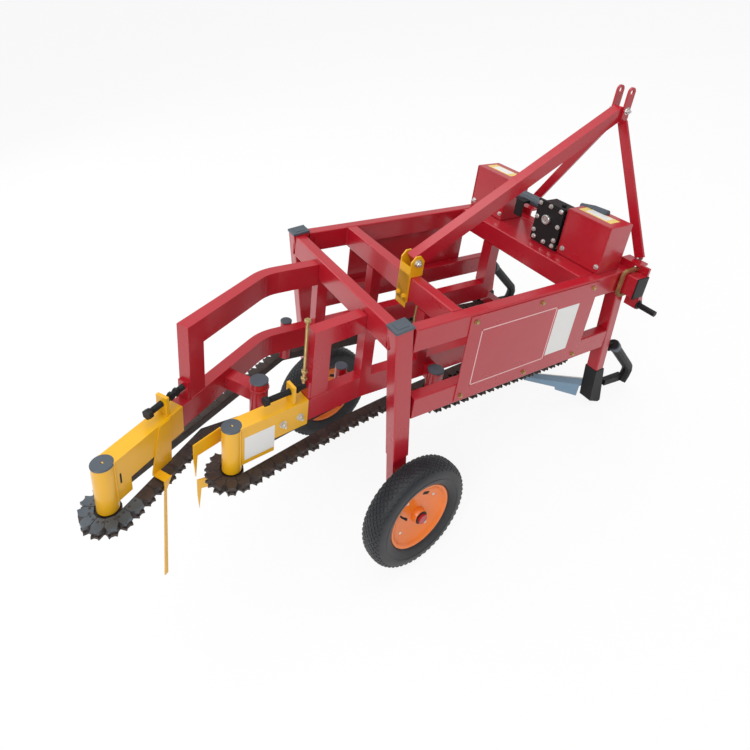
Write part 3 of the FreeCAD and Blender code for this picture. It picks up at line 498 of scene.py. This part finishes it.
mesh = bmesh.new()
for (x, y), r, top in ((LEFT_BARREL, BARREL_R, BARREL_TOP), (RIGHT_BARREL, BARREL_R, BARREL_TOP),
                       (SIDE_BARREL, BARREL_R, BARREL_TOP), (LEFT_GUIDE, POST_R, BARREL_TOP),
                       (RIGHT_GUIDE, POST_R, BARREL_TOP), (RIGHT_INNER, BARREL_R, INNER_TOP),
                       (LEFT_INNER, BARREL_R, INNER_TOP)):
    add_lathe(mesh, [(0, 0), (0, r + 0.7), (2.6, r + 0.7), (4.4, r - 1.2), (4.4, 4), (3.4, 3), (3.4, 0)],
              (x, y, top), (0, 0, 1), 40)
piece("barrel_caps", mesh, BLUE_GREY, smooth=35)
TOOLBAR_END = HALF + 60
mesh = bmesh.new()
for sign, proud in ((-1, 0.3), (1, 5)):
    x0, x1 = sorted((sign * TOOLBAR_END, sign * (TOOLBAR_END + proud)))
    add_box(mesh, (x0, 1009, -81), (x1, 1071.6, 1))
piece("toolbar_caps", mesh, BLACK, bevel=0.1)

# Side panels: bolts, a painted outline and a bare label plate.
PANEL = HALF + 3
FRAME_LOW, FRAME_HIGH, LINE = (331, -287), (677, -67), 4
mesh = bmesh.new()
for sign in (-1, 1):
    for y in (300, 590, 850):
        for z in (-30, -318):
            add_bolt(mesh, (sign * PANEL, y, z), (sign, 0, 0), across=11, high=6)
piece("panel_bolts", mesh, ZINC, smooth=30)
mesh = bmesh.new()
for sign in (-1, 1):
    x0, x1 = sorted((sign * PANEL, sign * (PANEL + 0.5)))
    (y0, z0), (y1, z1) = FRAME_LOW, FRAME_HIGH
    add_box(mesh, (x0, y0, z1 - LINE), (x1, y1, z1))
    add_box(mesh, (x0, y0, z0), (x1, y1, z0 + LINE))
    add_box(mesh, (x0, y0, z0), (x1, y0 + LINE, z1))
    add_box(mesh, (x0, y1 - LINE, z0), (x1, y1, z1))
piece("panel_outlines", mesh, PRINT)
mesh = bmesh.new()
for sign in (-1, 1):
    x0, x1 = sorted((sign * PANEL, sign * (PANEL + 0.7)))
    add_box(mesh, (x0, 683, -275), (x1, 795, -80))
piece("panel_labels", mesh, LABEL, bevel=0.3)

# Boxes over the drives: blank labels, bolts, folded lips.
COVERS = ((-356, -163.5), (142.5, 331.5))
COVER_REAR, COVER_TOP = 890, 180.5
mesh = bmesh.new()
for low, high in COVERS:
    middle = (low + high) / 2
    add_box(mesh, (middle - 78, 925, COVER_TOP), (middle + 62, 978, COVER_TOP + 0.7))
    add_box(mesh, (middle - 44, 936, COVER_TOP + 0.7), (middle + 30, 966, COVER_TOP + 1))
piece("cover_labels", mesh, LABEL_YELLOW, bevel=0.2)
mesh = bmesh.new()
for low, high in COVERS:
    middle = (low + high) / 2
    add_box(mesh, (middle - 52, 932, COVER_TOP + 0.7), (middle + 38, 972, COVER_TOP + 1.4))
piece("cover_label_fields", mesh, LABEL, bevel=0.2)
mesh = bmesh.new()
for x in (-340, -180, 162, 318):
    add_bolt(mesh, (x, COVER_REAR + 0.2, 25), (0, -1, 0), across=13, high=7)
piece("cover_bolts", mesh, SILVER, smooth=30)
mesh = bmesh.new()
for low, high in COVERS:
    for x0, x1 in ((low + 0.2, low + 3), (high - 3, high - 0.2)):
        add_box(mesh, (x0, COVER_REAR - 2.4, 2), (x1, COVER_REAR, 178))
    add_box(mesh, (low + 0.2, COVER_REAR - 2.4, 175), (high - 0.2, COVER_REAR, 178.4))
piece("cover_lips", mesh, RED, bevel=0.8)

# Gearbox: bolts round its lid, the bearing boss, ribs, filler plug.
GEAR_X, LID_Y = 71.5, 881.5
LID_BOLTS = ((-50, 158), (0, 160), (50, 158), (-52, 100), (52, 96), (-52, 44), (50, 40), (-44, 18),
             (6, 16), (48, 16))
mesh = bmesh.new()
for x, z in LID_BOLTS:
    add_bolt(mesh, (GEAR_X + x, LID_Y, z), (0, -1, 0), across=12, high=7)
piece("lid_bolts", mesh, SILVER, smooth=30)
mesh = bmesh.new()
add_lathe(mesh, [(0, 15), (0, 18.6), (8, 18.6), (9.5, 17), (9.5, 13), (6, 12), (6, 0)],
          (GEAR_X - 6, LID_Y, 104), (0, -1, 0), 36)
piece("boss_ring", mesh, SILVER, smooth=35)
mesh = bmesh.new()
for z in (36, 66, 96, 126):
    add_box(mesh, (GEAR_X - 58, 904, z), (GEAR_X + 58, 980, z + 5))
add_lathe(mesh, [(0, 0), (0, 9), (9, 9), (10, 7.5), (10, 0)], (GEAR_X + 20, 930, 160), (0, 0, 1), 6)
piece("gearbox_ribs", mesh, BLACK, bevel=1)
mesh = bmesh.new()
for x, y in ((16, 896), (127, 896), (16, 962), (127, 962)):
    add_bolt(mesh, (x, y, 9.2), (0, 0, 1), across=14, high=8)
piece("gearbox_foot_bolts", mesh, ZINC, smooth=30)
mesh = bmesh.new()
add_box(mesh, (-100, 880, 60), (-60, 886, 128))
add_box(mesh, (-100, 886, 118), (-60, 930, 128))
add_tube(mesh, [(-80, 930, 122), (0, 950, 128)], 9, 16)
piece("shaft_bracket", mesh, BLACK, bevel=1.2)
mesh = bmesh.new()
add_tube(mesh, [(126, 985, 170), (180, 985, 182), (240, 985, 186)], 13, 20)
piece("breather_tube", mesh, BLUE_GREY, smooth=40)


# Arms: bolts, blank label, a dark plate of painted shade in the barrel slot, tension screws with
# threads.
def arm_point(turn, start, along, side, z):
    """A point at a distance along an arm, off to its right side, at a height."""
    x, y = turned(*start, turn, along, side)
    return (x, y, z)


def arm_way(turn):
    """The direction to an arm's right side."""
    angle = math.radians(turn)
    return Vector((math.cos(angle), math.sin(angle), 0))


ARM_SIDE, ARM_BOLT_Z = 25, -312
mesh = bmesh.new()
for along in (228, 286):
    add_bolt(mesh, arm_point(RIGHT_TURN, RIGHT_START, along, ARM_SIDE, ARM_BOLT_Z),
             arm_way(RIGHT_TURN), across=15, high=9, shank=6)
for along in (430, 500):
    add_bolt(mesh, arm_point(LEFT_TURN, LEFT_BEND, along, -ARM_SIDE, ARM_BOLT_Z),
             -arm_way(LEFT_TURN), across=15, high=9, shank=6)
piece("arm_bolts", mesh, SILVER, smooth=30)

mesh = bmesh.new()
turn = Matrix.Rotation(math.radians(RIGHT_TURN), 3, "Z")
corner = arm_point(RIGHT_TURN, RIGHT_START, RIGHT_REACH - 26, 25.2, -384)
add_box(mesh, corner, (corner[0] + 0.8, corner[1] + 96, corner[2] + 84), turn, corner)
piece("arm_label", mesh, LABEL, bevel=0.3)
mesh = bmesh.new()
# A thin dark plate at the left barrel's slot: painted shade standing in for the opening.
corner = arm_point(LEFT_TURN, LEFT_BEND, LEFT_REACH - 26, 25.1, -345)
turn = Matrix.Rotation(math.radians(LEFT_TURN), 3, "Z")
add_box(mesh, corner, (corner[0] + 0.4, corner[1] + 5, corner[2] + 34), turn, corner)
piece("barrel_slot_shade", mesh, HOLE_SHADE)

SCREW_Z = -224
mesh = bmesh.new()
heads = bmesh.new()
for turn_deg, start, tail in ARMS:
    near = arm_point(turn_deg, start, tail - 4, 0, SCREW_Z)
    far = arm_point(turn_deg, start, tail + 133, 0, SCREW_Z)
    add_thread(mesh, near, far, 9.4, valley=0.87)
    way = Vector(far) - Vector(near)
    add_lathe(heads, [(0, 0), (0, 15), (1.5, 15.8), (13, 15.8), (14.6, 14), (14.6, 0)], far, way, 6)
    for along in (tail + 37, tail + 57):
        at = arm_point(turn_deg, start, along, 0, SCREW_Z)
        add_lathe(heads, [(-5, 0), (-5, 12.6), (-4, 13.6), (4, 13.6), (5, 12.6), (5, 0)], at, way, 6,
                  start=0.4)
piece("tension_threads", mesh, BLACK, smooth=25)
piece("tension_heads", heads, BLACK, smooth=30)

# Mast: head and foot bolts, the clevis bolt and face, collars on the hitch pins.
MAST_Y = 1123
CLEVIS_FACE = 225
mesh = bmesh.new()
for sign in (-1, 1):
    add_bolt(mesh, (MAST_X + sign * 28, MAST_Y, 520), (sign, 0, 0), across=18, high=9, shank=5)
    add_bolt(mesh, (MAST_X + sign * 30, 251, 50), (sign, 0, 0), across=18, high=9, shank=5)
    add_bolt(mesh, (MAST_X + sign * 275, 1103, 40), (0, 0.9, 0.3), across=15, high=9)
piece("mast_bolts", mesh, SILVER, smooth=30)
mesh = bmesh.new()
add_box(mesh, (MAST_X - 29, CLEVIS_FACE - 0.3, -115), (MAST_X + 29, CLEVIS_FACE + 0.3, 8))
for sign in (-1, 1):
    add_bolt(mesh, (MAST_X + sign * 16, CLEVIS_FACE, -75), (0, -1, 0), across=13, high=8)
piece("clevis_face", mesh, YELLOW, smooth=30)
mesh = bmesh.new()
for sign in (-1, 1):
    add_lathe(mesh, [(-1, 11.1), (-1, 18), (3, 18), (4.5, 16), (4.5, 11.1)],
              (MAST_X + sign * PIN_SHOULDER, 1082, -125), (sign, 0, 0), 32)
piece("hitch_pin_collars", mesh, BLACK, smooth=35)

# Chains: toothed link plates and pins along each loop. A loop is (x, y, radius) of its wheels.
DRIVE_Y = 935
SMALL_TIP = TIP - 26
ROUTES = {
    "chain_1": [(*LEFT_BARREL, TIP), (RIGHT_BARREL[0] - 148, RIGHT_BARREL[1] - 20, 0), (72.5, -10, 0),
                (39.5, 266, 0), (-81, DRIVE_Y, TIP), (*LEFT_GUIDE, SMALL_TIP)],
    "chain_2": [(*RIGHT_BARREL, TIP), (221.5, -10, 0), (187.5, 266, 0), (64, DRIVE_Y, TIP),
                (41.5, 266, 0), (76.5, -10, 0)],
    "chain_3": [(*RIGHT_INNER, SMALL_TIP), (210.5, DRIVE_Y, TIP)],
    "chain_4": [(*LEFT_INNER, SMALL_TIP), (-227.5, DRIVE_Y, TIP)],
}
CHAIN_TOP = CHAIN_LOW + CHAIN_HIGH
PLATE_OUTLINE = [(0.015, 13), (0.13, 6), (0.27, -5.5), (0.40, -0.8), (0.60, -0.8), (0.73, -5.5),
                 (0.87, 6), (0.985, 13), (0.985, 36), (0.015, 36)]
PLATES = ((CHAIN_LOW - 1.4, CHAIN_LOW + 8), (CHAIN_TOP - 8, CHAIN_TOP + 1.6))
GREY_BEHIND = -690
REAR_TIP = -817


def tangent_loop(wheels):
    """The closed line that runs round the wheels with all of them on its left."""
    ways = []
    for (x1, y1, r1), (x2, y2, r2) in zip(wheels, wheels[1:] + wheels[:1]):
        gap = math.hypot(x2 - x1, y2 - y1)
        ways.append(math.atan2(y2 - y1, x2 - x1) + math.asin(max(-1, min(1, (r1 - r2) / gap))))
    line = []
    for index, (x, y, radius) in enumerate(wheels):
        before = ways[index - 1] - math.pi / 2
        sweep = (ways[index] - math.pi / 2 - before) % (2 * math.pi)
        sweep = sweep if sweep < 1.6 * math.pi else sweep - 2 * math.pi
        steps = max(1, int(abs(sweep) * radius / 12)) if radius > 1 else 1
        for step in range(steps + 1 if radius > 1 else 1):
            angle = before + sweep * step / steps
            line.append(Vector((x + radius * math.cos(angle), y + radius * math.sin(angle), 0)))
    return line


def walker(line):
    """A function from distance along the closed line to its point and its inward side."""
    marks = [0.0]
    for a, b in zip(line, line[1:] + line[:1]):
        marks.append(marks[-1] + (b - a).length)

    def at(distance, inset):
        distance %= marks[-1]
        edge = max(k for k in range(len(line)) if marks[k] <= distance)
        a, b = line[edge], line[(edge + 1) % len(line)]
        way = (b - a).normalized()
        return a + way * (distance - marks[edge]) + Vector((-way.y, way.x, 0)) * inset
    return at, marks[-1]


# No plate reaches past the rear end of the solids.
rear_height = (AT @ Vector((0, REAR_TIP, PLATES[0][0]))).z
CAD_REAR = (AT.inverted() @ Vector((0, CAD_LOW[1], rear_height))).y
for label, wheels in ROUTES.items():
    at, total = walker(tangent_loop(wheels))
    teeth = round(total / TOOTH)
    step = total / teeth
    plates, grey, pins = bmesh.new(), bmesh.new(), bmesh.new()
    for k in range(teeth):
        points = [at((k + share) * step, inset) for share, inset in PLATE_OUTLINE]
        for p in points:
            p.y += max(0, CAD_REAR - p.y)
        rear_left = label == "chain_1" and points[0].y < GREY_BEHIND
        for low, high in PLATES:
            target = grey if rear_left and high > CHAIN_TOP else plates
            lift = 0.7 * (k % 2)
            rings = [[target.verts.new((p.x, p.y, z)) for p in points] for z in (low, high - lift)]
            target.faces.new(rings[0][::-1])
            target.faces.new(rings[1])
            for n in range(len(points)):
                m = (n + 1) % len(points)
                target.faces.new((rings[0][n], rings[0][m], rings[1][m], rings[1][n]))
        for share, inset in ((0.24, 26), (0.76, 26)):
            p = at((k + share) * step, inset)
            add_lathe(pins, [(0, 3.6), (1.3, 3.4), (1.9, 2.4), (1.9, 0)],
                      (p.x, p.y, CHAIN_TOP + 0.4), (0, 0, 1), 10)
    piece(f"{label}_plates", plates, PLATE, bevel=0.5)
    if len(grey.verts):
        piece(f"{label}_grey_plates", grey, PLATE_GREY, bevel=0.5)
    else:
        grey.free()
    piece(f"{label}_pins", pins, PLATE, smooth=40)

# Weld beads at the main joints: beams to rails, rails to posts, arches, the side arm's barrel.
BEAM_DEEP = 40
WELD_Z, ARM_WELD_Z = -267, -262
mesh = bmesh.new()
for y in (7, 231, 814):
    for sign in (-1, 1):
        x = sign * (HALF - 40)
        for edge_y in (y, y + BEAM_DEEP):
            add_weld(mesh, [(x, edge_y, -4), (x, edge_y, -76)])
        add_weld(mesh, [(x, y + 2, -0.3), (x, y + BEAM_DEEP - 2, -0.3)], 2.4)
for sign in (-1, 1):
    x = sign * (HALF - 20)
    for px in (x - 18, x + 18):
        add_weld(mesh, [(px, 73, -1), (px, 73, -78)], 3)
    add_weld(mesh, [(x - 20, 1009, -2), (x - 20, 1009, -78)], 3)
for turn_deg, start, tail in ARMS:
    for side in (-20, 20):
        for along in (tail, tail - 60):
            add_weld(mesh, [arm_point(turn_deg, start, along - 1, side, WELD_Z),
                            arm_point(turn_deg, start, along + 1, side, WELD_Z)], 2)
        add_weld(mesh, [arm_point(turn_deg, start, tail - 60, side, WELD_Z),
                        arm_point(turn_deg, start, tail, side, WELD_Z)], 2.4)
add_weld(mesh, ring_points((*SIDE_BARREL, -290), 29.4), 2.6, closed=True)
piece("red_welds", mesh, RED, smooth=60)

mesh = bmesh.new()
for (turn_deg, start, tail), reach in zip(ARMS, (LEFT_REACH, RIGHT_REACH)):
    for side in (-ARM_SIDE, ARM_SIDE):
        back = math.sqrt(BARREL_R ** 2 - ARM_SIDE ** 2)
        add_weld(mesh, [arm_point(turn_deg, start, reach - back, side, -264),
                        arm_point(turn_deg, start, reach - back, side, -398)], 2.8)
for (turn_deg, start, tail), sleeve in zip(ARMS, (40, 10)):
    for side in (-17, 17):
        for along in (tail + sleeve + 41.5, tail + sleeve + 52.5):
            add_weld(mesh, [arm_point(turn_deg, start, along, side, ARM_WELD_Z),
                            arm_point(turn_deg, start, along, side * 0.2, ARM_WELD_Z)], 2.2)
piece("yellow_welds", mesh, YELLOW, smooth=60)

# Threaded height rods beside the arches, and the grey rings on the dividers.
HEIGHT_RODS = ((205, -197, -212, 14), (118, 262, -262, -84))
DIVIDER_BEND, DIVIDER_WAY = (1122, -357), Vector((0, 175, -164))
mesh = bmesh.new()
nuts = bmesh.new()
for x, y, low, high in HEIGHT_RODS:
    add_thread(mesh, (x, y, low), (x, y, high), 5)
    for z in (low + 14, low + 40, high - 10):
        add_lathe(nuts, [(0, 0), (0, 9), (1, 10), (8, 10), (9, 9), (9, 0)], (x, y, z), (0, 0, 1), 6)
piece("height_rods", mesh, ZINC, smooth=25)
piece("height_rod_nuts", nuts, ZINC, smooth=30)
mesh = bmesh.new()
for sign in (-1, 1):
    x = sign * (HALF - 1)
    way = DIVIDER_WAY.normalized()
    start = Vector((x, *DIVIDER_BEND)) + way * 4
    add_lathe(mesh, [(0, 19), (0, 22.5), (2, 24), (26, 24), (28, 22.5), (28, 19)], start, way, 32)
piece("divider_rings", mesh, BLUE_GREY, smooth=35)

# Blades: a pale worn cutting edge along each share.
SHARE_TOP = -589.8
mesh = bmesh.new()
for sign in (-1, 1):
    edge = sign * (HALF - 52.5)
    a, b = Vector((edge, 1170, SHARE_TOP)), Vector((sign * 142, 915, SHARE_TOP))
    inward = (Vector((edge, 1075, SHARE_TOP)) - a) * 0.2
    corners = [a, b, b + inward * 0.3, a + inward]
    low = [mesh.verts.new(c) for c in corners]
    top = [mesh.verts.new(c + Vector((0, 0, 0.6))) for c in corners]
    mesh.faces.new(top)
    mesh.faces.new(low[::-1])
    for k in range(4):
        mesh.faces.new((low[k], low[(k + 1) % 4], top[(k + 1) % 4], top[k]))
piece("worn_edges", mesh, SILVER)

# The camera: its image axes and eye in the box frame, its image size, focal length and middle
# in pixels.
RIGHT = Vector((0.5192, 0.8484, 0.1035))
DOWN = Vector((0.4362, -0.1589, -0.8857))
AHEAD = Vector((-0.7350, 0.5050, -0.4525))
EYE = Vector((999 + HALF, -820, 895))
IMAGE, FOCAL, MIDDLE = 750, 565, (366, 254)
SENSOR = 36
turn = AT.to_3x3() * 1000
camera = bpy.data.objects.new("camera", bpy.data.cameras.new("camera"))
bpy.context.scene.collection.objects.link(camera)
axes = Matrix([turn @ RIGHT, -(turn @ DOWN), -(turn @ AHEAD)]).transposed().to_4x4()
camera.matrix_world = Matrix.Translation(AT @ EYE) @ axes
camera.data.sensor_fit = "HORIZONTAL"
camera.data.sensor_width = SENSOR
camera.data.lens = FOCAL / IMAGE * SENSOR
camera.data.shift_x = (IMAGE / 2 - MIDDLE[0]) / IMAGE
camera.data.shift_y = (MIDDLE[1] - IMAGE / 2) / IMAGE
camera.data.clip_start, camera.data.clip_end = 0.05, 60
bpy.context.scene.camera = camera

# The floor: pale, shown nearly white to the camera, with the machine's shadow left on it.
FLOOR = 60
FLOOR_WHITE = 0.88
floor_mesh = bpy.data.meshes.new("floor")
floor_corners = [(-FLOOR, -FLOOR, 0), (FLOOR, -FLOOR, 0), (FLOOR, FLOOR, 0), (-FLOOR, FLOOR, 0)]
floor_mesh.from_pydata(floor_corners, [], [(0, 1, 2, 3)])
floor = bpy.data.objects.new("floor", floor_mesh)
bpy.context.scene.collection.objects.link(floor)
pale = shader("pale_floor", (0.9, 0.9, 0.9), 0.8, vary=0.01, bump=0.0, scale=2, specular=0.0)
tree = pale.node_tree
glow = tree.nodes.new("ShaderNodeEmission")
glow.inputs["Color"].default_value = (1, 1, 1, 1)
glow.inputs["Strength"].default_value = 1.0
path = tree.nodes.new("ShaderNodeLightPath")
share = tree.nodes.new("ShaderNodeMath")
share.operation = "MULTIPLY"
share.inputs[1].default_value = FLOOR_WHITE
blend = tree.nodes.new("ShaderNodeMixShader")
tree.links.new(path.outputs["Is Camera Ray"], share.inputs[0])
tree.links.new(share.outputs["Value"], blend.inputs["Fac"])
tree.links.new(tree.nodes["Principled BSDF"].outputs["BSDF"], blend.inputs[1])
tree.links.new(glow.outputs["Emission"], blend.inputs[2])
tree.links.new(blend.outputs["Shader"], tree.nodes["Material Output"].inputs["Surface"])
floor_mesh.materials.append(pale)
floor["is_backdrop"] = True


def lamp(name, at, wide, power):
    """A square lamp aimed at the machine's middle."""
    light = bpy.data.lights.new(name, "AREA")
    light.shape = "SQUARE"
    light.size = wide
    light.energy = power
    item = bpy.data.objects.new(name, light)
    item.location = at
    item.rotation_mode = "QUATERNION"
    item.rotation_quaternion = (LAMP_AIM - Vector(at)).to_track_quat("-Z", "Y")
    bpy.context.scene.collection.objects.link(item)


LAMP_AIM = Vector((0, 0, 0.5))
lamp("key", (2.2, -3.0, 4.2), 2.6, 95)
lamp("sky", (-0.5, 0.8, 5.0), 5.0, 130)
lamp("side", (-4.0, -2.0, 2.6), 3.0, 45)

# The world: even light, plain white where the camera sees it.
WORLD_LIGHT = 0.55
world = bpy.data.worlds.new("studio")
bpy.context.scene.world = world
world.use_nodes = True
tree = world.node_tree
tree.nodes.clear()
out = tree.nodes.new("ShaderNodeOutputWorld")
mix = tree.nodes.new("ShaderNodeMixShader")
plain = tree.nodes.new("ShaderNodeBackground")
seen = tree.nodes.new("ShaderNodeBackground")
path = tree.nodes.new("ShaderNodeLightPath")
plain.inputs["Color"].default_value = (1, 1, 1, 1)
plain.inputs["Strength"].default_value = WORLD_LIGHT
seen.inputs["Color"].default_value = (1, 1, 1, 1)
seen.inputs["Strength"].default_value = 1.0
tree.links.new(path.outputs["Is Camera Ray"], mix.inputs["Fac"])
tree.links.new(plain.outputs["Background"], mix.inputs[1])
tree.links.new(seen.outputs["Background"], mix.inputs[2])
tree.links.new(mix.outputs["Shader"], out.inputs["Surface"])

bpy.context.scene.view_settings.view_transform = "Standard"

low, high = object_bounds()
{"cad": [list(CAD_LOW), list(CAD_HIGH)], "visual": [list(low), list(high)]}
